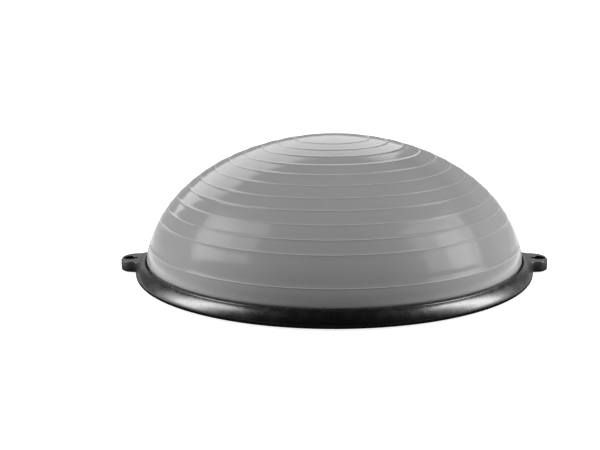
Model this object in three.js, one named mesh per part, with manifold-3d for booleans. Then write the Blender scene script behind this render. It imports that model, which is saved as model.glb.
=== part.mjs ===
// Balance dome trainer, 580 mm: an inflated PVC dome clamped to a rigid round
// platform by a moulded ring that carries a keyhole band anchor on each side.
// Millimetres, +Z up. Origin on the floor at the centre of the base.
// +X runs through one lug, -X through the other.
// Every outline turned about Z is a table of [radius, z] points.
import * as THREE from 'three';
import { mergeVertices } from 'three/addons/utils/BufferGeometryUtils.js';
import createManifold from 'manifold-3d';

const manifold = await createManifold();
manifold.setup();

// ---- shared dimensions --------------------------------------------------
const GAP = 0.3;         // clearance between neighbouring pieces
const OVERSHOOT = 2;     // how far a cutter runs past the face it cuts
const OVERLAP = 1;       // how far a shape sinks into the one it joins
const TURN_FACETS = 60;  // facets round the large turned pieces

const DECK_BASE = 3.0;   // underside of the platform, above the floor
const SEAT_Z = 9.5;      // top of the platform's ribs and flange seat
const SEAT_OUTER_R = 285.5;

const WALL = 3.0;             // bladder wall
const FLOOR_Z = SEAT_Z + GAP; // outside of the bladder floor
const FLOOR_TOP = FLOOR_Z + WALL;
const FLANGE_TOP = FLOOR_Z + 3.2;

const PAD_R = 20.0;
const PAD_TOP = 4.6;
const PAD_FACETS = 20;

const SCREW_R = 1.8;
const SCREW_BASE = DECK_BASE + 0.8;
const SCREW_TOP = 18.5;
const SCREW_HEAD_R = 3.9;
const SCREW_HEAD_TOP = SCREW_BASE + 2.3;
const SCREW_BORE_R = SCREW_R + GAP + 0.1;
const HOLE_FACETS = 8;

const VALVE_HOLE_R = 9.0;  // hole in the bladder floor
const VALVE_FACETS = 24;
const VALVE_BORE_R = { bottom: 4.7, top: 4.3 };
const VALVE_FLANGE_TOP = FLOOR_Z - GAP;
const VALVE_BASE = VALVE_FLANGE_TOP - 2.2;

// Places evenly spaced round a circle, the first half a step from +X.
const placesAround = (count, radius) => Array.from({ length: count }, (_, i) => {
  const angle = Math.PI / count + (2 * Math.PI * i) / count;
  return { x: radius * Math.cos(angle), y: radius * Math.sin(angle), angle };
});
const SCREW_COUNT = 12;
const SCREW_PLACES = placesAround(SCREW_COUNT, 280.2);
const PAD_PLACES = placesAround(6, 236.0);

// ---- materials ----------------------------------------------------------
const finish = (settings) => new THREE.MeshStandardMaterial(settings);
const pvcGrey = () => finish({ color: 0x8c8c8c, roughness: 0.38 });
const satinBlack = () => finish({ color: 0x0d0d0d, roughness: 0.42 });
const deckBlack = () => finish({ color: 0x151515, roughness: 0.6 });
const rubber = () => finish({ color: 0x1c1c1c, roughness: 0.85 });
const plugBlack = () => finish({ color: 0x202020, roughness: 0.5 });
const valvePvc = () => finish({ color: 0x7a7a7a, roughness: 0.45 });
const zinc = () => finish({ color: 0x9a9a9e, roughness: 0.35, metalness: 0.9 });

// ---- geometry helpers ---------------------------------------------------
// Bare indexed geometry: shared vertices merged, collapsed faces dropped, faces out.
function tidy(geometry) {
  const bare = geometry.clone();
  bare.deleteAttribute('normal');
  bare.deleteAttribute('uv');
  const merged = mergeVertices(bare, 1e-4);
  const corners = merged.index.array;
  const corner = (index) =>
    new THREE.Vector3().fromBufferAttribute(merged.attributes.position, index);
  const kept = [];
  let volume = 0; // six times the signed volume; negative when faces point in
  for (let i = 0; i < corners.length; i += 3) {
    const [a, b, c] = corners.slice(i, i + 3);
    if (a === b || b === c || c === a) continue;
    kept.push(a, b, c);
    volume += corner(a).dot(corner(b).cross(corner(c)));
  }
  if (volume < 0) {
    for (let i = 0; i < kept.length; i += 3) {
      [kept[i], kept[i + 1]] = [kept[i + 1], kept[i]];
    }
  }
  merged.setIndex(kept);
  return merged;
}

function toSolid(geometry) {
  const bare = tidy(geometry);
  return new manifold.Manifold(new manifold.Mesh({
    numProp: 3,
    vertProperties: new Float32Array(bare.attributes.position.array),
    triVerts: new Uint32Array(bare.index.array),
  }));
}

function toGeometry(solid) {
  const mesh = solid.getMesh();
  const geometry = new THREE.BufferGeometry();
  const positions = new Float32Array(mesh.vertProperties);
  geometry.setAttribute('position', new THREE.BufferAttribute(positions, 3));
  geometry.setIndex(Array.from(mesh.triVerts));
  return geometry;
}

// Outline turned about Z. One that starts off the axis is closed on itself.
function turned(outline, facets = TURN_FACETS) {
  const points = outline.map(([radius, z]) => new THREE.Vector2(radius, z));
  if (outline[0][0] > 0) points.push(points[0].clone());
  return new THREE.LatheGeometry(points, facets).rotateX(Math.PI / 2);
}
const turnedSolid = (outline, facets) => toSolid(turned(outline, facets));

// Upright cylinder between two heights.
function rodSolid(radius, bottom, top, facets, { x, y } = { x: 0, y: 0 }) {
  const rod = new THREE.CylinderGeometry(radius, radius, top - bottom, facets);
  rod.rotateX(Math.PI / 2);
  rod.translate(x, y, (bottom + top) / 2);
  return toSolid(rod);
}

// Box moved to its centre, then swung about Z.
function boxSolid(size, centre, angle = 0) {
  const box = new THREE.BoxGeometry(...size);
  box.translate(...centre);
  box.rotateZ(angle);
  return toSolid(box);
}

// One rod at every screw.
const screwRods = (radius, bottom, top, facets) => SCREW_PLACES
  .map((place) => rodSolid(radius, bottom, top, facets, place))
  .reduce((rods, rod) => rods.add(rod));

const group = new THREE.Group();
group.name = 'balance_dome_trainer';

function addPart(name, geometry, material) {
  const flat = tidy(geometry).toNonIndexed();
  flat.computeVertexNormals();
  const mesh = new THREE.Mesh(flat, material);
  mesh.name = name;
  group.add(mesh);
}

// ---- air bladder: ribbed dome, floor and clamped flange in one skin -----
const DOME_TOP = 200.6;
// Superellipse of the dome's section.
const SHELL = { radius: 281.0, base: -51.1, height: 251.6, radialPower: 1.074, heightPower: 0.731 };
const CROWN_R = 32;  // last point of the outline before the apex
// Moulded grip rings on the dome, from the rim inwards.
const GRIP_RADII = [
  268.7, 250.6, 239.0, 224.7, 208.0, 190.9, 170.4, 149.4, 127.2, 102.4, 80.0, 55.0,
];
const GRIP_HEIGHT = 0.9;
const GRIP_HALF_WIDTH = 3.2 / 2;
const INNER_RADII = [267, 256, 238, 208, 170, 120, 60]; // where the inner skin is worked out
const FLANGE_OUTER_R = 285.2;
const SIDE_OUTER = [[269.8, FLANGE_TOP], [270.2, 21], [272.2, 26], [272.9, 33], [271.9, 41]];
const SIDE_INNER = [[265.2, FLOOR_TOP], [266.8, FLOOR_TOP + 3], [269.8, 33]];
const FLANGE_HOLE_R = 2.6;

// Height of the dome's outer surface.
function domeZ(radius) {
  const across = Math.pow(radius / SHELL.radius, 1 / SHELL.radialPower);
  const up = Math.sqrt(1 - across * across);
  return SHELL.base + SHELL.height * Math.pow(up, SHELL.heightPower);
}

// Point reached from the dome's surface by going outwards along it, then off it.
function domePoint(radius, along, off) {
  const step = 0.05;
  const slope = (domeZ(radius + step) - domeZ(radius - step)) / (2 * step);
  const length = Math.hypot(slope, 1);
  const normalR = -slope / length;
  const normalZ = 1 / length;
  return [
    radius + normalZ * along + normalR * off,
    domeZ(radius) - normalR * along + normalZ * off,
  ];
}

function airBladder() {
  const grips = GRIP_RADII.flatMap((radius) => [
    domePoint(radius, GRIP_HALF_WIDTH, 0),
    domePoint(radius, 0, GRIP_HEIGHT),
    domePoint(radius, -GRIP_HALF_WIDTH, 0),
  ]);
  const skin = turnedSolid([
    [0, FLOOR_Z],
    [FLANGE_OUTER_R, FLOOR_Z],
    [FLANGE_OUTER_R, FLANGE_TOP],
    ...SIDE_OUTER,
    ...grips,
    [CROWN_R, domeZ(CROWN_R)],
    [0, DOME_TOP],
  ]);
  const air = turnedSolid([
    [0, FLOOR_TOP],
    ...SIDE_INNER,
    ...INNER_RADII.map((radius) => domePoint(radius, 0, -WALL)),
    [0, DOME_TOP - WALL],
  ]);
  const [bottom, top] = [FLOOR_Z - OVERSHOOT, FLOOR_TOP + OVERSHOOT];
  return toGeometry(skin
    .subtract(air)
    .subtract(rodSolid(VALVE_HOLE_R, bottom, top, VALVE_FACETS))
    .subtract(screwRods(FLANGE_HOLE_R, bottom, FLANGE_TOP + OVERSHOOT, HOLE_FACETS)));
}

// ---- base platform: skin, hub, flange seat and stiffening ribs ----------
const DECK_TOP = DECK_BASE + 4.0;
const DECK_CHAMFER = 0.6;
const SEAT_INNER_R = 268.0;
const HUB_R = 22.0; // access hole to the air plug
const HUB_OUTER_R = HUB_R + 5.0;
const RIB_WIDTH = 4.0;
const RIB_CIRCLES = [102.0, 187.0];
const SPOKE_JOIN = 2; // how far each spoke runs into the hub and the seat

function basePlatform() {
  let deck = turnedSolid([
    [HUB_R, DECK_BASE],
    [SEAT_OUTER_R - DECK_CHAMFER, DECK_BASE],
    [SEAT_OUTER_R, DECK_BASE + DECK_CHAMFER],
    [SEAT_OUTER_R, SEAT_Z],
    [SEAT_INNER_R, SEAT_Z],
    [SEAT_INNER_R, DECK_TOP],
    [HUB_OUTER_R, DECK_TOP],
    [HUB_OUTER_R, SEAT_Z],
    [HUB_R, SEAT_Z],
  ]);
  const ribBase = DECK_TOP - OVERLAP;
  for (const radius of RIB_CIRCLES) {
    const [inside, outside] = [radius - RIB_WIDTH / 2, radius + RIB_WIDTH / 2];
    deck = deck.add(turnedSolid([
      [inside, ribBase], [outside, ribBase], [outside, SEAT_Z], [inside, SEAT_Z],
    ]));
  }
  // Spokes, each midway between two screws.
  const start = HUB_R + SPOKE_JOIN;
  const end = SEAT_INNER_R + SPOKE_JOIN;
  for (let i = 0; i < SCREW_COUNT; i++) {
    const size = [end - start, RIB_WIDTH, SEAT_Z - ribBase];
    const centre = [(start + end) / 2, 0, (ribBase + SEAT_Z) / 2];
    deck = deck.add(boxSolid(size, centre, (2 * Math.PI * i) / SCREW_COUNT));
  }
  const below = DECK_BASE - OVERSHOOT;
  for (const place of PAD_PLACES) {
    deck = deck.subtract(rodSolid(PAD_R + GAP, below, PAD_TOP + GAP, PAD_FACETS, place));
  }
  return toGeometry(deck
    .subtract(screwRods(SCREW_HEAD_R + 0.4, below, SCREW_HEAD_TOP + GAP, 10))
    .subtract(screwRods(SCREW_BORE_R, DECK_BASE, SEAT_Z + OVERSHOOT, HOLE_FACETS)));
}

// ---- clamp ring with its two keyhole lugs -------------------------------
const RING_INNER_R = 275.2;
const RING_BASE = 3.8;
const RING_SEAT = FLANGE_TOP + GAP;
const RING_OUTLINE = [
  [RING_INNER_R, RING_BASE], [287.0, RING_BASE], [288.5, 4.7], [289.6, 6.5],
  [290.0, 8.8], [289.5, 11.0], [288.2, 13.7], [286.2, 16.7],
  [283.9, 19.4], [281.3, 21.8], [278.8, 23.5], [278.1, 23.3],
  [277.5, 23.9], [276.7, 24.3], [276.0, 24.0], [275.5, 22.6],
];
// Hollow left between the screw bosses.
const CORING_OUTLINE = [
  [279.2, RING_SEAT - OVERLAP], [286.0, RING_SEAT - OVERLAP], [286.0, RING_SEAT],
  [285.2, 14.6], [283.0, 17.4], [279.2, 20.2],
];
const BOSS = { radius: 4.3, bottom: RING_SEAT - 3, top: 24, facets: 12 };

// The +Y half of the +X lug, from the tip inwards: [x, y].
const LUG_HALF = [
  [315.0, 0], [314.7, 8.0], [313.2, 13.2], [310.6, 17.0], [308.3, 20.3],
  [305.8, 23.1], [302.6, 25.0], [298.5, 25.9], [294.5, 26.5], [290.5, 27.3],
  [287.0, 28.4], [284.0, 29.6], [280.0, 29.6],
];
const LUG_BASE = 3.0;
const LUG_TOP = 18.3;
const LUG_BEVEL = 1.3;
const KEYHOLE = { x: 303.0, radius: 9.25, facets: 28 };
const SLOT = { innerEnd: 290.6, halfWidth: 4.5, facets: 16 };
const LUG_CUT_HEIGHT = 40;

// A plain block of revolution between two radii and two heights.
const annulus = (inside, outside, bottom, top) => turnedSolid([
  [inside, bottom], [outside, bottom], [outside, top], [inside, top],
]);

function lugSolid(angle) {
  const mirrored = LUG_HALF.slice(1).reverse().map(([x, y]) => [x, -y]);
  const outline = [...LUG_HALF, ...mirrored].map(([x, y]) => new THREE.Vector2(x, y));
  const lug = new THREE.ExtrudeGeometry(new THREE.Shape(outline).closePath(), {
    depth: LUG_TOP - LUG_BASE - 2 * LUG_BEVEL,
    bevelEnabled: true,
    bevelSegments: 2,
    bevelSize: LUG_BEVEL,
    bevelThickness: LUG_BEVEL,
    bevelOffset: -LUG_BEVEL,
    curveSegments: 1,
  });
  lug.translate(0, 0, LUG_BASE + LUG_BEVEL);
  lug.rotateZ(angle);
  return toSolid(lug);
}

function coringSolid() {
  const { radius, bottom, top, facets } = BOSS;
  return SCREW_PLACES.reduce(
    (coring, place) => coring.subtract(rodSolid(radius, bottom, top, facets, place)),
    turnedSolid(CORING_OUTLINE),
  );
}

// Round hole with a narrower, round-ended slot running in towards the ring.
function cutKeyhole(ring, side) {
  const slotX = SLOT.innerEnd + SLOT.halfWidth;
  // The slot's sides match the flats of its faceted end.
  const width = 2 * SLOT.halfWidth * Math.cos(Math.PI / SLOT.facets);
  const size = [KEYHOLE.x - slotX, width, LUG_CUT_HEIGHT];
  const centre = [side * (slotX + KEYHOLE.x) / 2, 0, LUG_CUT_HEIGHT / 2];
  const upright = (radius, facets, x) =>
    rodSolid(radius, 0, LUG_CUT_HEIGHT, facets, { x: side * x, y: 0 });
  return ring
    .subtract(upright(KEYHOLE.radius, KEYHOLE.facets, KEYHOLE.x))
    .subtract(upright(SLOT.halfWidth, SLOT.facets, slotX))
    .subtract(boxSolid(size, centre));
}

function clampRing() {
  // Room for the platform's seat and the flange.
  const seatRoom = annulus(250, SEAT_OUTER_R + 0.5, RING_BASE - 3, RING_SEAT);
  // Trims anything inside the ring's bore.
  const bore = annulus(200, RING_INNER_R, -5, 60);
  let ring = turnedSolid(RING_OUTLINE)
    .add(lugSolid(0))
    .add(lugSolid(Math.PI))
    .subtract(seatRoom)
    .subtract(bore)
    .subtract(coringSolid())
    .subtract(screwRods(SCREW_BORE_R, RING_SEAT - OVERLAP, SCREW_TOP + 0.8, HOLE_FACETS));
  for (const side of [1, -1]) ring = cutKeyhole(ring, side);
  return toGeometry(ring);
}

// ---- valve seat and air plug --------------------------------------------
const VALVE_TOP = 22.4;
const LOWER_FLANGE_R = 13.0;
const UPPER_FLANGE_R = 16.0;
const UPPER_FLANGE_BASE = FLOOR_TOP + GAP;
const UPPER_FLANGE_TOP = UPPER_FLANGE_BASE + 2.4;
const TUBE_R = { bottom: 7.6, top: 7.0 };

const PLUG_HEAD_R = 11.0;
const PLUG_HEAD_TOP = VALVE_BASE - GAP;
const PLUG_BASE = PLUG_HEAD_TOP - 2.2;
const PLUG_CHAMFER = 0.8;
const PLUG_TOP = 20.6;
const PLUG_TIP = { inset: 1.0, height: 1.2 };
const PLUG_BAR = { size: [15, 3.2, 2.4], centre: [0, 0, PLUG_BASE - 0.3] };

const valveSeat = () => turned([
  [VALVE_BORE_R.bottom, VALVE_BASE],
  [LOWER_FLANGE_R, VALVE_BASE],
  [LOWER_FLANGE_R, VALVE_FLANGE_TOP],
  [VALVE_HOLE_R - GAP, VALVE_FLANGE_TOP],
  [VALVE_HOLE_R - GAP, UPPER_FLANGE_BASE],
  [UPPER_FLANGE_R, UPPER_FLANGE_BASE],
  [UPPER_FLANGE_R, UPPER_FLANGE_TOP],
  [TUBE_R.bottom, UPPER_FLANGE_TOP],
  [TUBE_R.top, VALVE_TOP],
  [VALVE_BORE_R.top, VALVE_TOP],
], VALVE_FACETS);

function airPlug() {
  const stemTopR = VALVE_BORE_R.top - GAP;
  const plug = turnedSolid([
    [0, PLUG_BASE],
    [PLUG_HEAD_R - PLUG_CHAMFER, PLUG_BASE],
    [PLUG_HEAD_R, PLUG_BASE + PLUG_CHAMFER],
    [PLUG_HEAD_R, PLUG_HEAD_TOP],
    [VALVE_BORE_R.bottom - GAP - 0.05, PLUG_HEAD_TOP],
    [stemTopR, PLUG_TOP - PLUG_TIP.height],
    [stemTopR - PLUG_TIP.inset, PLUG_TOP],
    [0, PLUG_TOP],
  ], VALVE_FACETS);
  return toGeometry(plug.add(boxSolid(PLUG_BAR.size, PLUG_BAR.centre)));
}

// ---- foot pads and clamp screws, modelled on the Z axis -----------------
const footPad = () => turned([
  [0, 0], [18.6, 0], [19.7, 0.7], [PAD_R, 1.8], [PAD_R, PAD_TOP], [0, PAD_TOP],
], PAD_FACETS);

// Pointed screw, head down, with a cross recess in the head.
function clampScrew() {
  let screw = turnedSolid([
    [0, SCREW_BASE], [3.3, SCREW_BASE], [SCREW_HEAD_R, SCREW_BASE + 1.0],
    [SCREW_HEAD_R, SCREW_HEAD_TOP], [SCREW_R, SCREW_HEAD_TOP],
    [SCREW_R, SCREW_TOP - 3], [0, SCREW_TOP],
  ], 8);
  for (const angle of [0, Math.PI / 2]) {
    screw = screw.subtract(boxSolid([4.2, 1.0, 2.2], [0, 0, SCREW_BASE + 0.1], angle));
  }
  return toGeometry(screw);
}

// ---- assembly -----------------------------------------------------------
addPart('air_bladder', airBladder(), pvcGrey());
addPart('base_platform', basePlatform(), deckBlack());
addPart('clamp_ring', clampRing(), satinBlack());
addPart('valve_seat', valveSeat(), valvePvc());
addPart('air_plug', airPlug(), plugBlack());
PAD_PLACES.forEach(({ x, y }, i) => {
  addPart(`foot_pad_${i + 1}`, footPad().translate(x, y, 0), rubber());
});
SCREW_PLACES.forEach(({ x, y, angle }, i) => {
  const name = `clamp_screw_${String(i + 1).padStart(2, '0')}`;
  addPart(name, clampScrew().rotateZ(angle).translate(x, y, 0), zinc());
});

export default group;
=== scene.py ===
# Air-filled dome on a round platform. A clamp ring with two keyhole lugs, on -X and +X, holds
# the dome's rim. It stands on z = 0, centred on the Z axis; the front faces -Y and +X is right.
# Sizes are in millimetres unless noted; meshes are built in metres.
import math

import bmesh
import bpy
import numpy as np
from mathutils import Matrix, Vector, noise


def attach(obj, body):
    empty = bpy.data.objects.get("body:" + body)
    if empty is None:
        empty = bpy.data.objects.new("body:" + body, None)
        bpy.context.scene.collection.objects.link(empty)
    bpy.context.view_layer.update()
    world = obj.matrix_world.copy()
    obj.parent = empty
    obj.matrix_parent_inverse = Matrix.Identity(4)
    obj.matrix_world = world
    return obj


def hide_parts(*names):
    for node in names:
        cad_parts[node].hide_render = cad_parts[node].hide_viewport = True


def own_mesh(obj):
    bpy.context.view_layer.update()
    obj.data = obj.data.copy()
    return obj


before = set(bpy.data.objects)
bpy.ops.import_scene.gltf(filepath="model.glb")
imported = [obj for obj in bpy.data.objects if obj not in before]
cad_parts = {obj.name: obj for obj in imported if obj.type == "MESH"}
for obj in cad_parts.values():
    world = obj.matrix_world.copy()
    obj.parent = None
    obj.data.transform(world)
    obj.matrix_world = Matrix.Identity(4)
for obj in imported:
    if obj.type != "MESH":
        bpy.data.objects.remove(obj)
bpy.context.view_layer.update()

MM = 0.001

# ---- sizes shared by several pieces ----------------------------------------
RING_SEAT = 13.3                        # height at which the clamp ring sits on the dome's flange
SCREWS, SCREW_CIRCLE = 12, 280.2        # count, and radius of the circle they stand on
PADS, PAD_CIRCLE, PAD_R = 6, 236.0, 20.0


# ======================= mesh helpers =======================================
def link_object(name, mesh):
    obj = bpy.data.objects.new(name, mesh)
    bpy.context.scene.collection.objects.link(obj)
    return obj


def new_object(name, verts, faces):
    mesh = bpy.data.meshes.new(name)
    mesh.from_pydata([tuple(v) for v in verts], [], [tuple(f) for f in faces])
    mesh.update()
    return link_object(name, mesh)


def outward(obj):
    """Weld the mesh and turn its faces outwards."""
    work = bmesh.new()
    work.from_mesh(obj.data)
    bmesh.ops.remove_doubles(work, verts=work.verts, dist=1e-7)
    bmesh.ops.recalc_face_normals(work, faces=work.faces)
    if work.calc_volume(signed=True) < 0:
        bmesh.ops.reverse_faces(work, faces=work.faces)
    work.to_mesh(obj.data)
    work.free()
    return obj


def smooth(obj, angle):
    """Smooth shading, with edges steeper than angle (degrees) kept sharp."""
    mesh = obj.data
    mesh.polygons.foreach_set("use_smooth", [True] * len(mesh.polygons))
    mesh.set_sharp_from_angle(angle=math.radians(angle))
    mesh.update()
    return obj


def lathe(name, section, seg, at=(0.0, 0.0), pole_shift=0.0, deform=None):
    """Turn a section of (radius, z) about the vertical line through at. Radius 0 is a pole.

    pole_shift moves the poles along X; deform(k, radius, z, angle) moves the other points.
    """
    verts, rows = [], []
    for k, (radius, z) in enumerate(section):
        if radius <= 1e-6:
            rows.append([len(verts)])
            verts.append(((at[0] + pole_shift) * MM, at[1] * MM, z * MM))
            continue
        rows.append(list(range(len(verts), len(verts) + seg)))
        for i in range(seg):
            point = (radius, z, 2 * math.pi * i / seg)
            if deform:
                point = deform(k, *point)
            out, height, angle = point
            verts.append(((at[0] + out * math.cos(angle)) * MM,
                          (at[1] + out * math.sin(angle)) * MM, height * MM))
    pairs = list(zip(rows, rows[1:]))
    if section[0][0] > 1e-6:
        pairs.append((rows[-1], rows[0]))
    faces = []
    for row, following in pairs:
        for i in range(seg):
            j = (i + 1) % seg
            if len(row) == 1:
                faces.append((row[0], following[j], following[i]))
            elif len(following) == 1:
                faces.append((row[i], row[j], following[0]))
            else:
                faces.append((row[i], row[j], following[j], following[i]))
    return outward(new_object(name, verts, faces))


def box(name, size, centre, turn=0.0, shape=None):
    """Box, optionally reshaped about its own centre, then placed and turned about Z (radians)."""
    work = bmesh.new()
    bmesh.ops.create_cube(work, size=1.0)
    bmesh.ops.scale(work, vec=tuple(v * MM for v in size), verts=work.verts)
    if shape:
        shape(work)
    bmesh.ops.translate(work, vec=tuple(v * MM for v in centre), verts=work.verts)
    bmesh.ops.rotate(work, cent=(0, 0, 0), matrix=Matrix.Rotation(turn, 3, "Z"),
                     verts=work.verts)
    mesh = bpy.data.meshes.new(name)
    work.to_mesh(mesh)
    work.free()
    return link_object(name, mesh)


def boolean(obj, tool, operation):
    """Apply a boolean to obj and remove the tool."""
    modifier = obj.modifiers.new("cut", "BOOLEAN")
    modifier.operation = operation
    modifier.solver = "EXACT"
    modifier.object = tool
    depsgraph = bpy.context.evaluated_depsgraph_get()
    mesh = bpy.data.meshes.new_from_object(obj.evaluated_get(depsgraph))
    obj.modifiers.remove(modifier)
    old = obj.data
    obj.data = mesh
    mesh.name = obj.name
    bpy.data.meshes.remove(old)
    bpy.data.objects.remove(tool, do_unlink=True)
    return obj


def join(objects, name):
    verts, faces = [], []
    for obj in objects:
        start = len(verts)
        verts += [tuple(v.co) for v in obj.data.vertices]
        faces += [tuple(start + i for i in p.vertices) for p in obj.data.polygons]
        bpy.data.objects.remove(obj, do_unlink=True)
    return new_object(name, verts, faces)


def rounded(points, radii, steps=4):
    """Closed section with each corner rounded by its own radius (0 keeps it sharp)."""
    out = []
    for i, (point, radius) in enumerate(zip(points, radii)):
        if radius <= 0:
            out.append(point)
            continue
        before, corner = Vector(points[i - 1]), Vector(point)
        after = Vector(points[(i + 1) % len(points)])
        back, ahead = (before - corner).normalized(), (after - corner).normalized()
        half = math.acos(max(-1, min(1, back.dot(ahead)))) / 2
        trim = min(radius / math.tan(half), 0.49 * (before - corner).length,
                   0.49 * (after - corner).length)
        start, end = corner + back * trim, corner + ahead * trim
        for k in range(steps + 1):
            t = k / steps
            mid = start * (1 - t) ** 2 + corner * 2 * t * (1 - t) + end * t * t
            out.append((mid.x, mid.y))
    return out


def catmull(points, steps):
    """Catmull-Rom curve through the points, with a number of steps per span."""
    out = []
    padded = [points[0], *points, points[-1]]
    for i in range(1, len(padded) - 2):
        p0, p1, p2, p3 = map(np.array, padded[i - 1:i + 3])
        for k in range(steps):
            t = k / steps
            out.append(tuple(0.5 * ((2 * p1) + (p2 - p0) * t
                                    + (2 * p0 - 5 * p1 + 4 * p2 - p3) * t * t
                                    + (3 * p1 - p0 - 3 * p2 + p3) * t ** 3)))
    out.append(tuple(points[-1]))
    return out


def run_lengths(points):
    """Distance along a polyline at each of its points."""
    return np.concatenate([[0], np.cumsum(np.hypot(*np.diff(np.array(points), axis=0).T))])


def station_angle(i, count):
    """Angle of station i; the first stands half a pitch away from +X."""
    return math.pi / count + 2 * math.pi * i / count


def on_circle(radius, angle):
    return radius * math.cos(angle), radius * math.sin(angle)


# ======================= dome bladder =======================================
SHELL_R, SHELL_BASE, SHELL_H = 281.0, -51.1, 251.6      # radius at the base height, base, rise
SHELL_P, SHELL_Q = 1.074, 0.731                         # exponents that shape the shell's curve
GRIP_RINGS = [55.0, 80.0, 102.4, 127.2, 149.4, 170.4,   # radii of the raised rings
              190.9, 208.0, 224.7, 239.0, 250.6, 268.7]
GRIP_HIGH, GRIP_HALF = 0.40, 1.05                       # height and half width of a ring
GRIP_STEPS = (-0.72, -0.46, -0.22, 0.0, 0.22, 0.46, 0.72)   # samples over it, in half widths
LEAN = 3.6                                              # shift to the left (-X) at the top
WALL = 3.0
DOME_SEG = 320
FLOOR_Z, FLANGE_T, FLANGE_OUT = 9.8, 3.2, 285.2         # underside, flange thickness and radius
VALVE_HOLE = 9.0
LIP_START = 267.2
POLE_ZONE, NORMAL_REACH = 0.9, 0.8    # distances along the profile: upright normal, normal's step
REMAP_LIMIT = 262.0                   # radius inside which leaning points slide along the shell


def shell_z(radius):
    across = (radius / SHELL_R) ** (1 / SHELL_P)
    return SHELL_BASE + SHELL_H * (1 - across * across) ** (0.5 * SHELL_Q)


# (radius, z) from the shell's edge down round the bulge to the flange
LIP = [(LIP_START, shell_z(LIP_START)), (GRIP_RINGS[-1], shell_z(GRIP_RINGS[-1])),
       (270.3, 44.4), (271.55, 40.2), (272.45, 36.0), (273.05, 32.2), (273.4, 29.2),
       (273.5, 27.3), (273.25, 25.9), (272.5, 24.9), (271.5, 24.1), (270.75, 22.8), (270.5, 15.2)]
shell_radii = [*np.linspace(0, 100, 101), *np.linspace(100.5, 240, 280),
               *np.linspace(240.2, LIP_START, 136)]
profile = np.array([(radius, shell_z(radius)) for radius in shell_radii] + catmull(LIP, 12)[1:])
runs = run_lengths(profile)
run_end = float(runs[-1])
shell_runs = runs[:len(shell_radii)]
ring_runs = [float(np.interp(radius, shell_radii, shell_runs)) for radius in GRIP_RINGS[:-1]]
ring_runs.append(float(runs[np.argmin(np.abs(profile[:, 0] - GRIP_RINGS[-1]))]))


def profile_samples():
    """Distances along the profile: coarse on the bands, fine over each grip ring."""
    samples = []
    for start, ring_run in zip([0.0] + ring_runs, ring_runs):
        low = start + (GRIP_HALF if start > 0 else 0)
        high = ring_run - GRIP_HALF
        steps = 6 if start > 0 else 12
        samples += [low + (high - low) * k / steps for k in range(steps + 1)]
        samples += [ring_run + step * GRIP_HALF for step in GRIP_STEPS]
    low = ring_runs[-1] + GRIP_HALF
    samples += [low + (run_end - low) * k / 30 for k in range(31)]
    return sorted(set(round(float(run), 5) for run in samples))


def profile_at(run):
    return float(np.interp(run, runs, profile[:, 0])), float(np.interp(run, runs, profile[:, 1]))


def normal_at(run):
    if run <= POLE_ZONE:
        return 0.0, 1.0
    r0, z0 = profile_at(max(0, run - NORMAL_REACH))
    r1, z1 = profile_at(min(run_end, run + NORMAL_REACH))
    step_r, step_z = r1 - r0, z1 - z0
    length = math.hypot(step_r, step_z)
    return -step_z / length, step_r / length


def relief(run):
    """Height of the grip rings."""
    height = 0.0
    for ring_run in ring_runs:
        away = abs(run - ring_run)
        if away < GRIP_HALF:
            height += GRIP_HIGH * math.cos(math.pi / 2 * away / GRIP_HALF) ** 1.6
    return height


samples = profile_samples()


def dome_skin(k, radius, z, angle):
    """Outer skin: grip rings, the lean of the top to the left, and a slight unevenness."""
    if k >= len(samples):
        return radius, z, angle
    run = moved = samples[k]
    if run < ring_runs[-1]:
        x, y = on_circle(profile_at(run)[0], angle)
        x -= LEAN * (1 - (run / ring_runs[-1]) ** 2) ** 1.5
        angle = math.atan2(y, x)
        reach = math.hypot(x, y)
        if reach < REMAP_LIMIT:
            moved = float(np.interp(reach, shell_radii, shell_runs))
    radius, z = profile_at(moved)
    normal_r, normal_z = normal_at(moved)
    place = Vector((*on_circle(radius, angle), z))
    fade = min(1.0, max(0.0, (z - 30.0) / 20.0))        # the lip stays even
    lift = relief(run) + fade * (0.30 * noise.noise(place / 95.0)
                                 + 0.13 * noise.noise(place / 34.0 + Vector((7.1, 3.3, 1.9))))
    return radius + normal_r * lift, z + normal_z * lift, angle


def inner_skin():
    points = []
    for run in np.linspace(0, run_end, 26)[:-1]:
        radius, z = profile_at(run)
        normal_r, normal_z = normal_at(run)
        points.append((radius - normal_r * WALL, z - normal_z * WALL))
    return [p for p in points if p[1] > FLOOR_Z + WALL + 5]


def grip_ring_painted_shading(run):
    """Painted highlight on a grip ring's crown (positive) and painted shade low on its outer side
    (negative).
    """
    for ring_run in ring_runs:
        across = (run - ring_run) / GRIP_HALF
        if abs(across) <= 1.0:
            if across < 0.4:
                return max(0.0, 1.0 - abs(across + 0.30) / 0.75)
            return -0.5 * max(0.0, 1.0 - abs(across - 0.75) / 0.3)
    return 0.0


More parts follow.
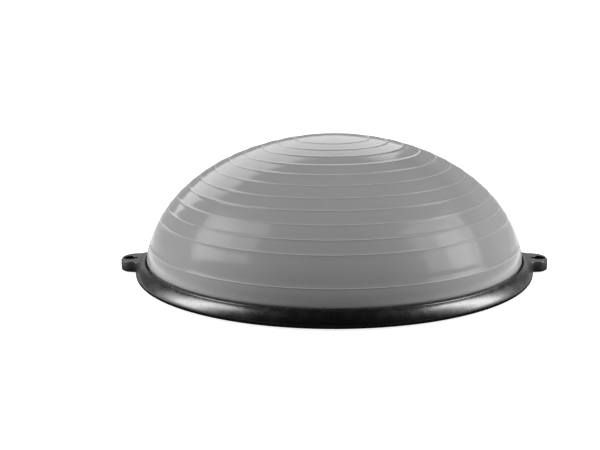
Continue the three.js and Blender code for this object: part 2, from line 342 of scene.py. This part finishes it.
def make_dome():
    # dome_skin places the outer points other than the pole
    section = [profile_at(run) for run in samples]
    section += [(270.3, FLOOR_Z + FLANGE_T + 0.5), (271.2, FLOOR_Z + FLANGE_T),
                (FLANGE_OUT - 0.6, FLOOR_Z + FLANGE_T), (FLANGE_OUT, FLOOR_Z + FLANGE_T - 0.6),
                (FLANGE_OUT, FLOOR_Z + 0.6), (FLANGE_OUT - 0.6, FLOOR_Z)]
    section += [(radius, FLOOR_Z) for radius in (200.0, 100.0, VALVE_HOLE)]
    section += [(radius, FLOOR_Z + WALL) for radius in (VALVE_HOLE, 100.0, 200.0, 263.5)]
    section += [(265.6, FLOOR_Z + WALL + 1.2), (266.8, FLOOR_Z + WALL + 4)]
    section += inner_skin()[::-1]
    obj = smooth(lathe("dome_bladder", section, seg=DOME_SEG, pole_shift=-LEAN,
                       deform=dome_skin), angle=60)
    # per vertex row, the painted highlight and painted shade of the grip rings
    painted_shading = []
    for k, (radius, _) in enumerate(section):
        value = grip_ring_painted_shading(samples[k]) if k < len(samples) else 0.0
        painted_shading += [value] * (1 if radius <= 1e-6 else DOME_SEG)
    obj.data.attributes.new("painted_grip_shading", "FLOAT", "POINT").data.foreach_set("value", painted_shading)
    return obj


dome = make_dome()


# ======================= clamp ring with lugs ===============================
LUG_TOP, LUG_BOT, LUG_EDGE = 18.3, 3.0, 1.3     # heights, and the radius of the lug's edges
RING_INNER, RING_FOOT = 286.0, 286.3            # radii of the inner wall and of the foot
PLAIN_COLUMNS = 180                             # columns of each plain stretch between the lugs
# (points on a lug's top, on each rounded edge, on its side wall, on its underside)
TOP_STEPS, EDGE_STEPS, WALL_STEPS, UNDER_STEPS = 8, 5, 7, 5
SIDE_POINTS = TOP_STEPS + 2 * EDGE_STEPS + WALL_STEPS + UNDER_STEPS
FILLET_HIGH, FILLET_SHARE, FILLET_LONG = 1.6, 0.35, 5.0     # fillet between lug and body
# (radius, z) of the inner edge and crest, upwards and then outwards
CREST = [(275.2, RING_SEAT - 0.2), (275.2, 16.5), (275.22, 19.5), (275.35, 21.6), (275.55, 22.9),
         (275.85, 23.75), (276.25, 24.2), (276.65, 24.32), (277.05, 24.2), (277.4, 23.92),
         (277.68, 23.6), (277.95, 23.4), (278.25, 23.36), (278.55, 23.42), (278.9, 23.45)]
# (radius, z) of the plain ring's outer face, downwards from the crest
BODY = catmull([(278.9, 23.45), (281.3, 21.8), (283.9, 19.4), (286.2, 16.7), (288.15, 13.7),
                (289.45, 11.0), (290.0, 8.8), (289.65, 6.6), (288.5, 4.8), (287.0, 3.9),
                (RING_FOOT, 3.8)], 6)
# (x, y) of half of the lug's outline, seen from above, from its tip to the ring's body
LUG_OUTLINE = [(315.0, 0.0), (314.95, 4.0), (314.6, 8.0), (314.0, 11.0), (313.0, 13.8),
               (311.6, 16.3), (309.9, 18.6), (308.0, 20.9), (305.8, 22.9), (303.4, 24.5),
               (300.6, 25.5), (297.6, 26.0), (294.6, 26.4), (292.0, 27.0), (289.8, 28.0),
               (288.0, 29.5), (286.8, 31.4)]


def body_r(z):
    """Outer radius of the plain ring at height z."""
    return float(np.interp(z, [q[1] for q in BODY][::-1], [q[0] for q in BODY][::-1]))


def resample(points, count):
    """Evenly spaced points along a polyline, leaving out its start."""
    along, table = run_lengths(points), np.array(points)
    stops = np.linspace(0, along[-1], count + 1)[1:]
    return list(zip(np.interp(stops, along, table[:, 0]), np.interp(stops, along, table[:, 1])))


SHOULDER = body_r(LUG_TOP)
RING_UPPER = CREST + [q for q in BODY if q[1] > LUG_TOP][1:] + [(SHOULDER, LUG_TOP)]
PLAIN_SIDE = resample([(SHOULDER, LUG_TOP)] + [q for q in BODY if q[1] < LUG_TOP], SIDE_POINTS)


def lug_side(reach):
    """Section of a lug, from its top round to its underside, where its outline is at reach."""
    bottom = LUG_BOT + 0.8 * min(1.0, max(0.0, (291.5 - reach) / 3.0))
    core = reach - LUG_EDGE
    turns = [math.pi / 2 * k / EDGE_STEPS for k in range(1, EDGE_STEPS + 1)]
    points = []
    for k in range(1, TOP_STEPS + 1):
        x = SHOULDER + (core - SHOULDER) * (k / TOP_STEPS)
        rise = (FILLET_HIGH * max(0.0, 1.0 - (x - SHOULDER) / FILLET_LONG) ** 2
                * min(1.0, max(0.0, (reach - 291.0) / 4.0)))
        points.append((x, LUG_TOP + rise * FILLET_SHARE))
    points += [(core + LUG_EDGE * math.sin(t), LUG_TOP - LUG_EDGE + LUG_EDGE * math.cos(t))
               for t in turns]
    points += [(reach, LUG_TOP - LUG_EDGE - (LUG_TOP - 2 * LUG_EDGE - bottom) * k / WALL_STEPS)
               for k in range(1, WALL_STEPS + 1)]
    points += [(core + LUG_EDGE * math.cos(t), bottom + LUG_EDGE - LUG_EDGE * math.sin(t))
               for t in turns]
    points += [(core + (RING_FOOT - reach + LUG_EDGE) * k / UNDER_STEPS, bottom)
               for k in range(1, UNDER_STEPS + 1)]
    # never inside the ring's own body
    return [(max(radius, body_r(z) if z > 3.9 else RING_FOOT), z) for radius, z in points]


def ring_section(reach):
    """Section of the ring where the lug's outline is at reach (0 away from the lugs)."""
    side, inner_foot = PLAIN_SIDE, 4.1
    if reach > 0:
        side = lug_side(reach)
        inner_foot = side[-1][1] + 0.2
    return RING_UPPER + side + [(RING_INNER + 0.05, inner_foot), (RING_INNER, 8.0),
                                (RING_INNER, RING_SEAT - 0.2)]


def ring_columns():
    """(angle, reach) of each section round the ring."""
    lug = [(math.atan2(y, x), math.hypot(x, y)) for x, y in catmull(LUG_OUTLINE, 5)]
    lug_end = lug[-1][0]
    plain = np.linspace(lug_end, math.pi - lug_end, PLAIN_COLUMNS + 2)[1:-1]
    half = lug + [(angle, 0.0) for angle in plain]
    half += [(math.pi - angle, reach) for angle, reach in lug[::-1]]
    return half + [(math.pi + angle, reach) for angle, reach in half[1:-1]]


# Keyhole: a round hole with a slot towards the ring's centre
KEY_X, KEY_R = 303.0, 9.25
SLOT_END, SLOT_HALF = 295.1, 4.5        # centre of the slot's round end, half width
KEY_EDGE = 0.85                         # rounding of the hole's rims


def keyhole_outline(widen, side):
    radius, half = KEY_R + widen, SLOT_HALF + widen
    mouth = math.asin(half / radius)
    points = [(KEY_X + radius * math.cos(t), radius * math.sin(t))
              for t in np.linspace(-(math.pi - mouth), math.pi - mouth, 49)]
    points += [(SLOT_END + half * math.cos(t), half * math.sin(t))
               for t in np.linspace(math.pi / 2, 3 * math.pi / 2, 21)]
    return [(side * x, side * y) for x, y in points]


def keyhole_cutter(side):
    layers = [(0.0, KEY_EDGE + 0.35)]           # (z, widening)
    for k in range(6):
        t = math.pi / 2 * k / 5
        layers.append((LUG_BOT + KEY_EDGE * (1 - math.cos(t)), KEY_EDGE * (1 - math.sin(t))))
    for k in range(6):
        t = math.pi / 2 * (1 - k / 5)
        layers.append((LUG_TOP - KEY_EDGE * (1 - math.cos(t)), KEY_EDGE * (1 - math.sin(t))))
    layers.append((30.0, KEY_EDGE + 0.2))
    verts, faces = [], []
    for z, widen in layers:
        outline = keyhole_outline(widen, side)
        verts += [(x * MM, y * MM, z * MM) for x, y in outline]
    count = len(outline)
    for k in range(len(layers) - 1):
        low, high = k * count, (k + 1) * count
        for i in range(count):
            j = (i + 1) % count
            faces.append((low + i, low + j, high + j, high + i))
    faces.append(tuple(range(count))[::-1])
    faces.append(tuple((len(layers) - 1) * count + i for i in range(count)))
    return outward(new_object("cutter", verts, faces))


def make_ring():
    columns = ring_columns()
    verts, faces = [], []
    for angle, reach in columns:
        section = ring_section(reach)
        verts += [(radius * math.cos(angle) * MM, radius * math.sin(angle) * MM, z * MM)
                  for radius, z in section]
    count = len(section)
    for i in range(len(columns)):
        here, after = i * count, (i + 1) % len(columns) * count
        for k in range(count):
            j = (k + 1) % count
            faces.append((here + k, after + k, after + j, here + j))
    obj = outward(new_object("ring_moulding", verts, faces))
    for side in (1, -1):
        boolean(obj, keyhole_cutter(side), "DIFFERENCE")
    return smooth(obj, angle=38)


ring = make_ring()


# ======================= platform ===========================================
RIB_START = 24.0                                # radius where the radial ribs begin
RIB_LONG = SCREW_CIRCLE - 10 - RIB_START
RIB_WIDE, RIB_HIGH, RIB_Z = 4.0, 3.2, 7.9       # width, height, mid-height
ROUND_RIBS = (102.0, 187.0)                     # mid radii of the circular ribs
# (radius, z) of the deck and of the pockets cut into its underside
DECK = [(22.0, 3.0), (285.5, 3.0), (285.5, 9.5), (268.0, 9.5),
        (268.0, 7.0), (27.0, 7.0), (27.0, 9.5), (22.0, 9.5)]
DECK_RADII = [0.9, 0.7, 0.4, 0.3, 0.6, 0.6, 0.3, 0.3]
PAD_POCKET = [(0, -2), (20.9, -2), (20.9, 2.7), (20.75, 3.05), (20.4, 3.4), (20.3, 3.8),
              (20.3, 4.9), (0, 4.9)]
SCREW_HOLE = [(0, -2), (4.75, -2), (4.75, 2.8), (4.55, 3.15), (4.3, 3.5), (4.3, 6.4),
              (2.2, 6.4), (2.2, 12), (0, 12)]


def make_deck():
    obj = lathe("platform_deck", rounded(DECK, DECK_RADII), seg=360)
    cutters = [lathe("pocket", section, seg, on_circle(radius, station_angle(i, count)))
               for section, seg, radius, count in ((PAD_POCKET, 64, PAD_CIRCLE, PADS),
                                                   (SCREW_HOLE, 32, SCREW_CIRCLE, SCREWS))
               for i in range(count)]
    boolean(obj, join(cutters, "deck_cutters"), "DIFFERENCE")
    for i in range(SCREWS):
        rib = box("rib", (RIB_LONG, RIB_WIDE, RIB_HIGH), (RIB_START + RIB_LONG / 2, 0, RIB_Z),
                  turn=2 * math.pi * i / SCREWS)
        boolean(obj, rib, "UNION")
    for radius in ROUND_RIBS:
        low, high = radius - RIB_WIDE / 2, radius + RIB_WIDE / 2
        rib = lathe("rib", [(low, 6.2), (high, 6.2), (high, 9.49), (low, 9.49)], seg=180)
        boolean(obj, rib, "UNION")
    return smooth(obj, angle=30)


deck = make_deck()


# ======================= foot pads ==========================================
PAD_GROOVES = ((5.0, 6.2), (9.2, 10.4), (13.4, 14.6))   # inner and outer radii
GROOVE_DEEP = 0.7
PAD_EDGE = 1.7                                          # rounding of the lower rim


def pad_section():
    points = [(0, 0.0)]
    for inner, outer in PAD_GROOVES:
        points += [(inner - 0.25, 0.0), (inner, 0.12), (inner + 0.15, GROOVE_DEEP),
                   (outer - 0.15, GROOVE_DEEP), (outer, 0.12), (outer + 0.25, 0.0)]
    points.append((PAD_R - PAD_EDGE, 0.0))
    for k in range(7):
        x, z = on_circle(PAD_EDGE, math.radians(-80 + 80 * k / 6))
        points.append((PAD_R - PAD_EDGE + x, PAD_EDGE + z))
    return points + [(PAD_R, 4.3), (19.8, 4.55), (19.4, 4.6), (0, 4.6)]


pads = [smooth(lathe(f"rubber_pad_{i + 1}", pad_section(), 96,
                     on_circle(PAD_CIRCLE, station_angle(i, PADS))), angle=32)
        for i in range(PADS)]


# ======================= screws =============================================
HEAD_Z = 3.8                            # underside of the screw head
THREAD_PITCH, THREAD_END = 1.4, 15.5
# (radius, height above HEAD_Z) of the head
SCREW_HEAD = [(0, 0.05), (1.6, 0.02), (2.7, 0.2), (3.4, 0.55), (3.8, 1.1), (3.9, 1.6),
              (3.9, 2.2), (3.8, 2.3), (1.75, 2.3)]


def narrow_inwards(work):
    """Taper the recess towards its inner end."""
    for vert in work.verts:
        if vert.co.z > 0:
            vert.co.x *= 0.45
            vert.co.y *= 0.7


def make_screw(i):
    section = [(radius, HEAD_Z + z) for radius, z in SCREW_HEAD]
    z = HEAD_Z + 3.2
    while z < THREAD_END:               # coarse thread, as rings
        section += [(1.45, z), (1.8, z + 0.35), (1.8, z + 0.5), (1.45, z + 0.85)]
        z += THREAD_PITCH
    section += [(1.4, z), (0.6, 18.1), (0, 18.5)]
    obj = lathe(f"screw_{i + 1:02d}", section, seg=32)
    first, second = [box("bar", (4.3, 1.0, 3.0), (0, 0, HEAD_Z + 0.2), turn=math.pi / 2 * k,
                         shape=narrow_inwards) for k in (0, 1)]
    boolean(first, second, "UNION")
    boolean(obj, first, "DIFFERENCE")
    angle = station_angle(i, SCREWS)
    x, y = on_circle(SCREW_CIRCLE, angle)
    # each cross recess is left at a different angle
    obj.data.transform(Matrix.Translation((x * MM, y * MM, 0))
                       @ Matrix.Rotation(angle * 3.7, 4, "Z"))
    return smooth(obj, angle=30)


screws = [make_screw(i) for i in range(SCREWS)]


# ======================= valve seat and plug ================================
# (radius, z) with the rounding of each corner
SEAT = [(4.7, 7.3), (13.0, 7.3), (13.0, 9.5), (8.7, 9.5), (8.7, 13.1),
        (16.0, 13.1), (16.0, 15.5), (7.6, 15.5), (7.0, 22.4), (4.3, 22.4)]
SEAT_RADII = [0.7, 0.7, 0.3, 0.2, 0.2, 0.4, 0.7, 0.8, 0.5, 0.4]
PLUG = [(9.0, 4.8), (11.0, 4.8), (11.0, 7.0), (4.35, 7.0), (4.2, 12.0), (4.0, 20.6), (0.3, 20.6)]
PLUG_RADII = [0, 1.0, 0.5, 0.3, 0, 1.1, 0]


def round_grip(work):
    bmesh.ops.bevel(work, geom=work.edges[:], offset=0.75 * MM, segments=4, profile=0.5,
                    affect="EDGES")


def make_plug():
    section = [(0, 4.8), (7.0, 4.8)] + rounded(PLUG, PLUG_RADII, steps=5) + [(0, 20.6)]
    obj = lathe("plug_stopper", section, seg=96)
    boolean(obj, box("grip", (14.8, 3.2, 2.4), (0, 0, 4.5), shape=round_grip), "UNION")
    return smooth(obj, angle=32)


seat = smooth(lathe("valve_bush", rounded(SEAT, SEAT_RADII), seg=96), angle=32)
plug = make_plug()


# ======================= shader nodes =======================================
class Graph:
    """The emptied node tree of a material or world, with short ways to add nodes."""

    def __init__(self, owner):
        owner.use_nodes = True
        self.tree = owner.node_tree
        self.tree.nodes.clear()

    def add(self, kind, inputs=None, **settings):
        """New node. Inputs are given by name or index, as a socket to link or as a value."""
        node = self.tree.nodes.new("ShaderNode" + kind)
        for key, value in settings.items():
            setattr(node, key, value)
        for key, value in (inputs or {}).items():
            if isinstance(value, bpy.types.NodeSocket):
                self.tree.links.new(value, node.inputs[key])
            else:
                node.inputs[key].default_value = value
        return node

    def math(self, operation, *values):
        return self.add("Math", dict(enumerate(values)), operation=operation).outputs[0]

    def remap(self, value, low, high, to_low, to_high, interpolation="LINEAR"):
        return self.add("MapRange", {"Value": value, "From Min": low, "From Max": high,
                                     "To Min": to_low, "To Max": to_high},
                        interpolation_type=interpolation).outputs[0]

    def ease(self, *values):
        return self.remap(*values, interpolation="SMOOTHSTEP")

    def pick(self, switch, off, on):
        """off where switch is 0, on where it is 1."""
        return self.add("Mix", {"Factor": switch, 2: off, 3: on}, data_type="FLOAT").outputs[0]

    def mix_shaders(self, factor, first, second):
        return self.add("MixShader", {0: factor, 1: first, 2: second}).outputs[0]

    def split(self, vector):
        return self.add("SeparateXYZ", {0: vector}).outputs

    def flat_length(self, axes):
        """Distance from the Z axis."""
        flat = self.add("CombineXYZ", {0: axes["X"], 1: axes["Y"]}).outputs[0]
        return self.add("VectorMath", {0: flat}, operation="LENGTH").outputs["Value"]

    def noise(self, place, size, detail, roughness=0.5, shift=0.0):
        """Noise with features of a size in mm."""
        moved = self.add("Mapping", {0: place, "Location": (shift, shift * 0.7, shift * 1.3)})
        return self.add("TexNoise", {"Vector": moved.outputs[0], "Scale": 1000.0 / size,
                                     "Detail": detail, "Roughness": roughness}).outputs["Fac"]


# ======================= materials ==========================================
def tone_factor(graph, place, tone, tone_size, scuff, painted_grip_shading):
    """Brightness factor: broad and fine tone changes, scuffs, and the painted highlight and
    painted shade on the grip rings.
    """
    broad = graph.remap(graph.noise(place, tone_size, 4.0), 0.25, 0.75, 1 - tone, 1 + tone)
    fine = graph.remap(graph.noise(place, tone_size / 14.0, 2.0, shift=3.1),
                       0.3, 0.7, 1 - tone * 0.5, 1 + tone * 0.5)
    factor = graph.math("MULTIPLY", broad, fine)
    if scuff > 0:                       # fine pale marks, in patches
        marks = graph.remap(graph.noise(place, 3.0, 6.0, 0.7, shift=9.4), 0.55, 0.75, 0.0, scuff)
        patches = graph.remap(graph.noise(place, 70.0, 2.0, shift=5.5), 0.5, 0.72, 0.0, 1.0)
        factor = graph.math("ADD", factor, graph.math("MULTIPLY", patches, marks))
    # painted highlight on the grip rings' crowns, painted shade low on their outer sides
    if painted_grip_shading > 0:
        grip_shading = graph.add("Attribute", attribute_name="painted_grip_shading").outputs["Fac"]
        gain = graph.math("ADD", graph.math("MULTIPLY", grip_shading, painted_grip_shading), 1.0)
        factor = graph.math("MULTIPLY", factor, gain)
    return factor


def seam_height(graph, place):
    """Mould parting line on x = 0, at the front and the back. Lengths in metres."""
    away = graph.math("ABSOLUTE", graph.split(place)["X"])
    return graph.remap(away, 0.0, 0.0005, 0.00012, 0.0)


def sink_height(graph, place):
    """Shallow sink marks along the radial ribs. Lengths in metres."""
    axes = graph.split(place)
    pitch = 2 * math.pi / SCREWS
    angle = graph.math("ARCTAN2", axes["Y"], axes["X"])
    turns = graph.math("MULTIPLY", angle, SCREWS / (2 * math.pi))
    offset = graph.math("ABSOLUTE", graph.math("SUBTRACT", turns, graph.math("ROUND", turns)))
    away = graph.math("MULTIPLY", graph.math("MULTIPLY", offset, pitch), graph.flat_length(axes))
    return graph.ease(away, 0.0, 0.004, -0.00007, 0.0)


def capped_sheen(graph, body, normal, rough, ior, cap):
    """Lay a gloss over body whose strength levels off at cap towards the rim."""
    fresnel = graph.add("Fresnel", {"IOR": ior, "Normal": normal}).outputs[0]
    shine = graph.add("BsdfGlossy", {"Color": (1.0, 1.0, 1.0, 1.0), "Roughness": rough,
                                     "Normal": normal}).outputs[0]
    decay = graph.math("POWER", math.e, graph.math("MULTIPLY", fresnel, -1.0 / cap))
    level = graph.math("MULTIPLY", graph.math("SUBTRACT", 1.0, decay), cap)
    return graph.mix_shaders(level, body, shine)


def material(name, colour, rough, ior, tone, tone_size, bumps, rough_var=0.05, rough_size=60.0,
             scuff=0.0, metal=0.0, dust=0.0, seam=False, sinks=False, painted_grip_shading=0.0, sheen_cap=0.0):
    """Procedural finish. Sizes in mm; bumps holds (feature size, height, noise detail)."""
    made = bpy.data.materials.new(name)
    graph = Graph(made)
    place = graph.add("TexCoord").outputs["Object"]
    factor = tone_factor(graph, place, tone, tone_size, scuff, painted_grip_shading)
    grey = graph.add("CombineColor", {0: factor, 1: factor, 2: factor}).outputs[0]
    tinted = graph.add("Mix", {"Factor": 1.0, 6: (*colour, 1.0), 7: grey},
                       data_type="RGBA", blend_type="MULTIPLY").outputs[2]
    roughness = graph.remap(graph.noise(place, rough_size, 4.0, shift=1.7),
                            0.25, 0.75, rough - rough_var, rough + rough_var)
    if dust > 0:
        specks = graph.remap(graph.noise(place, 1.6, 2.0, shift=8.2), 0.62, 0.8, 0.0, dust)
        roughness = graph.math("ADD", roughness, specks)
    heights = [graph.math("MULTIPLY", graph.noise(place, size, detail, 0.55, shift=size),
                          high * MM) for size, high, detail in bumps]
    if seam:
        heights.append(seam_height(graph, place))
    if sinks:
        heights.append(sink_height(graph, place))
    height = heights[0]
    for part in heights[1:]:
        height = graph.math("ADD", height, part)
    normal = graph.add("Bump", {"Strength": 1.0, "Distance": 1.0, "Height": height}).outputs[0]
    body = graph.add("BsdfPrincipled", {"Base Color": tinted, "Roughness": roughness,
                                        "Normal": normal, "IOR": ior, "Metallic": metal,
                                        "Coat Roughness": 0.1})
    surface = body.outputs[0]
    if sheen_cap > 0:                   # the separate gloss replaces the body's own
        body.inputs["IOR"].default_value = 1.0
        body.inputs["Specular IOR Level"].default_value = 0.0
        surface = capped_sheen(graph, surface, normal, roughness, ior, sheen_cap)
    graph.add("OutputMaterial", {0: surface})
    return made


# The dome's grip rings get a painted highlight on their crowns and painted shade low on their
# outer sides, at strength 0.45.
pvc = material("pvc_skin", colour=(0.25, 0.25, 0.252), rough=0.115, ior=1.36, sheen_cap=0.22,
               tone=0.02, tone_size=55.0, rough_var=0.03, rough_size=45.0, dust=0.05, painted_grip_shading=0.45,
               bumps=((14.0, 0.05, 2.0), (3.5, 0.006, 2.0), (0.7, 0.0012, 1.0)))
ring_plastic = material("ring_grained_plastic", colour=(0.0035, 0.0035, 0.0036), rough=0.27,
                        ior=1.60, sheen_cap=0.16, tone=0.10, tone_size=12.0, rough_var=0.05,
                        rough_size=14.0, bumps=((2.0, 0.055, 3.0), (0.9, 0.022, 2.0)), seam=True)
deck_plastic = material("deck_plastic", colour=(0.016, 0.016, 0.0165), rough=0.5, ior=1.5,
                        tone=0.10, tone_size=30.0, rough_var=0.07, rough_size=50.0, scuff=0.5,
                        bumps=((1.3, 0.022, 3.0), (0.5, 0.008, 2.0)), sinks=True)
rubber = material("pad_rubber", colour=(0.022, 0.022, 0.022), rough=0.78, ior=1.5, tone=0.15,
                  tone_size=9.0, rough_var=0.08, rough_size=8.0, bumps=((0.9, 0.035, 4.0),),
                  scuff=0.6)
valve_pvc = material("valve_pvc", colour=(0.17, 0.17, 0.172), rough=0.4, ior=1.5, tone=0.05,
                     tone_size=8.0, bumps=((1.2, 0.012, 2.0),))
plug_plastic = material("plug_plastic", colour=(0.03, 0.03, 0.031), rough=0.42, ior=1.5,
                        tone=0.1, tone_size=6.0, bumps=((0.7, 0.010, 3.0),))
zinc = material("screw_zinc", colour=(0.62, 0.62, 0.64), rough=0.3, ior=2.5, tone=0.12,
                tone_size=2.5, rough_var=0.1, rough_size=1.5, bumps=((0.35, 0.010, 3.0),),
                metal=1.0)

# ======================= frame ==============================================
# (object, material, slot, CAD piece it replaces)
PIECES = [(dome, pvc, "bladder_pvc", "air_bladder"),
          (ring, ring_plastic, "ring_plastic", "clamp_ring"),
          (deck, deck_plastic, "platform_plastic", "base_platform"),
          (seat, valve_pvc, "valve_pvc", "valve_seat"),
          (plug, plug_plastic, "plug_plastic", "air_plug")]
PIECES += [(pad, rubber, "pad_rubber", f"foot_pad_{i + 1}") for i, pad in enumerate(pads)]
PIECES += [(screw, zinc, "screw_steel", f"clamp_screw_{i + 1:02d}")
           for i, screw in enumerate(screws)]

for obj, finish, slot_name, _ in PIECES:
    obj.data.materials.clear()
    obj.data.materials.append(finish)
for obj in [dome, ring, deck, seat] + pads + screws:
    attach(obj, "base")
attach(plug, "plug")
for obj, _, _, cad_name in PIECES:
    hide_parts(cad_name)
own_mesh(dome)


# ======================= floor ==============================================
# Floor strengths; distances in this section are in metres.
# As seen in reflections: beside and behind the object, far out, in front, under the object
GLOSS_BESIDE, GLOSS_FAR, GLOSS_FRONT, GLOSS_UNDER = 2.0, 0.8, 0.03, 0.7
# As diffuse light: added at the sides, general, under the object
FILL_BESIDE, FILL_GROUND, FILL_UNDER = 2.2, 0.12, 6.0
UNDER_FADE = (0.25, 0.285)              # radii over which the part under the object fades out


def floor_material():
    """Pale floor. Its reflection is bright beside and behind the object and dark in front."""
    made = bpy.data.materials.new("studio_floor")
    graph = Graph(made)
    rays = graph.add("LightPath").outputs
    geometry = graph.add("NewGeometry").outputs
    axes = graph.split(geometry["Position"])
    radius = graph.flat_length(axes)
    beside = graph.ease(graph.math("ABSOLUTE", axes["X"]), 0.10, 0.34, 0.0, 1.0)
    behind = graph.ease(axes["Y"], -0.30, 0.10, 0.0, 1.0)
    clear = graph.ease(radius, 0.30, 0.44, 0.0, 1.0)
    reach = graph.math("MULTIPLY", graph.math("MAXIMUM", beside, behind), clear)
    beyond = graph.ease(radius, 0.48, 0.85, 0.0, 1.0)
    spread = graph.pick(beyond, GLOSS_BESIDE, GLOSS_FAR)
    inside = graph.ease(radius, *UNDER_FADE, GLOSS_UNDER, GLOSS_FRONT)
    reflected = graph.pick(reach, inside, spread)
    pale = graph.ease(axes["Y"], 0.5, 2.2, 0.90, 1.05)
    seen = graph.pick(rays["Is Camera Ray"], reflected, pale)
    ground = graph.math("ADD", graph.math("MULTIPLY", beside, FILL_BESIDE),
                        graph.ease(radius, *UNDER_FADE, FILL_UNDER, FILL_GROUND))
    strength = graph.pick(rays["Is Diffuse Ray"], seen, ground)
    glow = graph.add("Emission", {"Strength": strength}).outputs[0]
    dark = graph.add("BsdfDiffuse", {0: (0.05, 0.05, 0.05, 1)}).outputs[0]
    light = graph.add("BsdfDiffuse", {0: (0.8, 0.8, 0.8, 1)}).outputs[0]
    matt = graph.mix_shaders(rays["Is Camera Ray"], dark, light)
    top = graph.add("AddShader", {0: matt, 1: glow}).outputs[0]
    glass = graph.add("BsdfTransparent").outputs[0]     # seen through from underneath
    graph.add("OutputMaterial", {0: graph.mix_shaders(geometry["Backfacing"], top, glass)})
    return made


floor = new_object("studio_floor", [(-6, -4, 0), (6, -4, 0), (6, 12, 0), (-6, 12, 0)],
                   [(0, 1, 2, 3)])
floor.data.materials.append(floor_material())


# ======================= lights =============================================
LIGHT_CENTRE = (0, 0, 0.08)             # the point every light is aimed at, in metres
# (name, radiance, azimuth, elevation, distance, width, height, tilt, lit object)
# Azimuth 0 is behind the object and +90 is right. Angles in degrees, lengths in metres.
# A light with a lit object shows only in that object's reflections; the others give only
# diffuse light.
LIGHTS = [
    ("left_window", 2.7, -98, 36, 1.7, 1.24, 1.00, 27, dome),
    ("left_core", 1.5, -94, 32, 1.69, 0.60, 0.78, 20, dome),
    ("right_window", 2.5, 98, 33, 1.7, 1.24, 1.14, -20, dome),
    ("right_core", 2.5, 97, 28, 1.69, 0.50, 0.84, -12, dome),
    ("ring_left", 15, -95, 32, 1.7, 0.58, 1.30, 0, ring),
    ("ring_left_wide", 2.6, -94, 21, 1.71, 1.25, 1.70, 0, ring),
    ("ring_right", 17, 92, 32, 1.7, 0.56, 1.30, 0, ring),
    ("ring_right_wide", 2.6, 94, 21, 1.71, 1.25, 1.70, 0, ring),
    ("ring_top", 1.6, 0, 62, 2.0, 2.4, 0.9, 0, ring),
    ("ring_back", 0.9, 0, 12, 2.5, 3.6, 0.9, 0, ring),
    ("back_panel", 2.2, -15.5, 27.5, 3.0, 3.05, 1.76, 0, dome),
    ("fill_left", 3.6, -95, 35, 1.9, 1.8, 1.8, 0, None),
    ("fill_right", 3.9, 95, 35, 1.9, 1.8, 1.8, 0, None),
    ("fill_top", 0.25, 0, 88, 2.2, 2.2, 2.2, 0, None),
    ("fill_front", 0.25, 180, 38, 2.2, 2.4, 1.6, 0, None),
]


def softbox(name, radiance, azimuth, elevation, distance, width, height, tilt, lit):
    side, rise = math.radians(azimuth), math.radians(elevation)
    toward = Vector((math.sin(side) * math.cos(rise), math.cos(side) * math.cos(rise),
                     math.sin(rise)))
    light = bpy.data.lights.new(name, "AREA")
    light.shape = "RECTANGLE"
    light.size = width
    light.size_y = height
    light.energy = radiance * math.pi * width * height
    obj = link_object(name, light)
    obj.location = Vector(LIGHT_CENTRE) + toward * distance
    roll = Matrix.Rotation(math.radians(tilt), 4, "Z").to_quaternion()
    obj.rotation_euler = (toward.to_track_quat("Z", "Y") @ roll).to_euler()
    obj.visible_camera = False
    obj.visible_glossy = lit is not None
    obj.visible_diffuse = lit is None
    if lit:
        group = bpy.data.collections.new(name + "_receivers")
        group.objects.link(lit)
        obj.light_linking.receiver_collection = group


for row in LIGHTS:
    softbox(*row)

# ======================= world ==============================================
BACKDROP, AIR_FILL, AIR_GLOSS = 1.32, 0.10, 0.01    # strength for camera, diffuse, glossy rays
# Bright parts of the backdrop, seen only in reflections, by direction in degrees
# (level, azimuth from, to, elevation from, to, edge softness in azimuth, in elevation)
WALLS = [
    (0.15, -75, -43, 2, 30, 4.0, 3.0),
    (0.6, -75, 75, -14, 2, 4.0, 3.0),
    (0.4, -43, 12, 2, 40, 3.0, 1.0),
    (0.5, 12, 62, 2, 24, 4.0, 3.0),
    (0.15, -60, 60, 37, 62, 4.0, 3.0),
]


def band(graph, angle, low, high, soft, level):
    """level between two angles, 0 outside, with soft edges."""
    away = graph.math("ABSOLUTE", graph.math("SUBTRACT", angle, (low + high) / 2))
    past = graph.math("SUBTRACT", away, (high - low) / 2)
    return graph.ease(past, -soft, soft, level, 0.0)


def make_world():
    world = bpy.data.worlds.new("studio")
    bpy.context.scene.world = world
    graph = Graph(world)
    rays = graph.add("LightPath").outputs
    axes = graph.split(graph.add("TexCoord").outputs["Generated"])
    azimuth = graph.math("MULTIPLY", graph.math("ARCTAN2", axes["X"], axes["Y"]), 180 / math.pi)
    elevation = graph.math("MULTIPLY", graph.math("ARCSINE", axes["Z"]), 180 / math.pi)
    parts = [graph.math("MULTIPLY", band(graph, azimuth, az_low, az_high, az_soft, level),
                        band(graph, elevation, el_low, el_high, el_soft, 1.0))
             for level, az_low, az_high, el_low, el_high, az_soft, el_soft in WALLS]
    gloss = parts[0]
    for part in parts[1:] + [AIR_GLOSS]:
        gloss = graph.math("ADD", gloss, part)
    air = graph.pick(rays["Is Glossy Ray"], AIR_FILL, gloss)
    air = graph.pick(rays["Is Camera Ray"], air, BACKDROP)
    background = graph.add("Background", {"Strength": air}).outputs[0]
    graph.add("OutputWorld", {0: background})
    world.cycles.sampling_method = "NONE"


make_world()

# ======================= camera =============================================
CAMERA_PLACE = (0.0, -1.468, 0.4044)    # metres
CAMERA_DOWN = 13.2                      # degrees below level

lens = bpy.data.cameras.new("photo_camera")
lens.sensor_fit = "HORIZONTAL"
lens.sensor_width = 36.0
lens.lens = 61.37
lens.shift_x = -0.0573
lens.shift_y = 0.0083
camera = link_object("photo_camera", lens)
camera.location = CAMERA_PLACE
camera.rotation_euler = (math.radians(90.0 - CAMERA_DOWN), 0.0, 0.0)
scene = bpy.context.scene
scene.camera = camera
scene.view_settings.view_transform = "Standard"
scene.view_settings.look = "None"
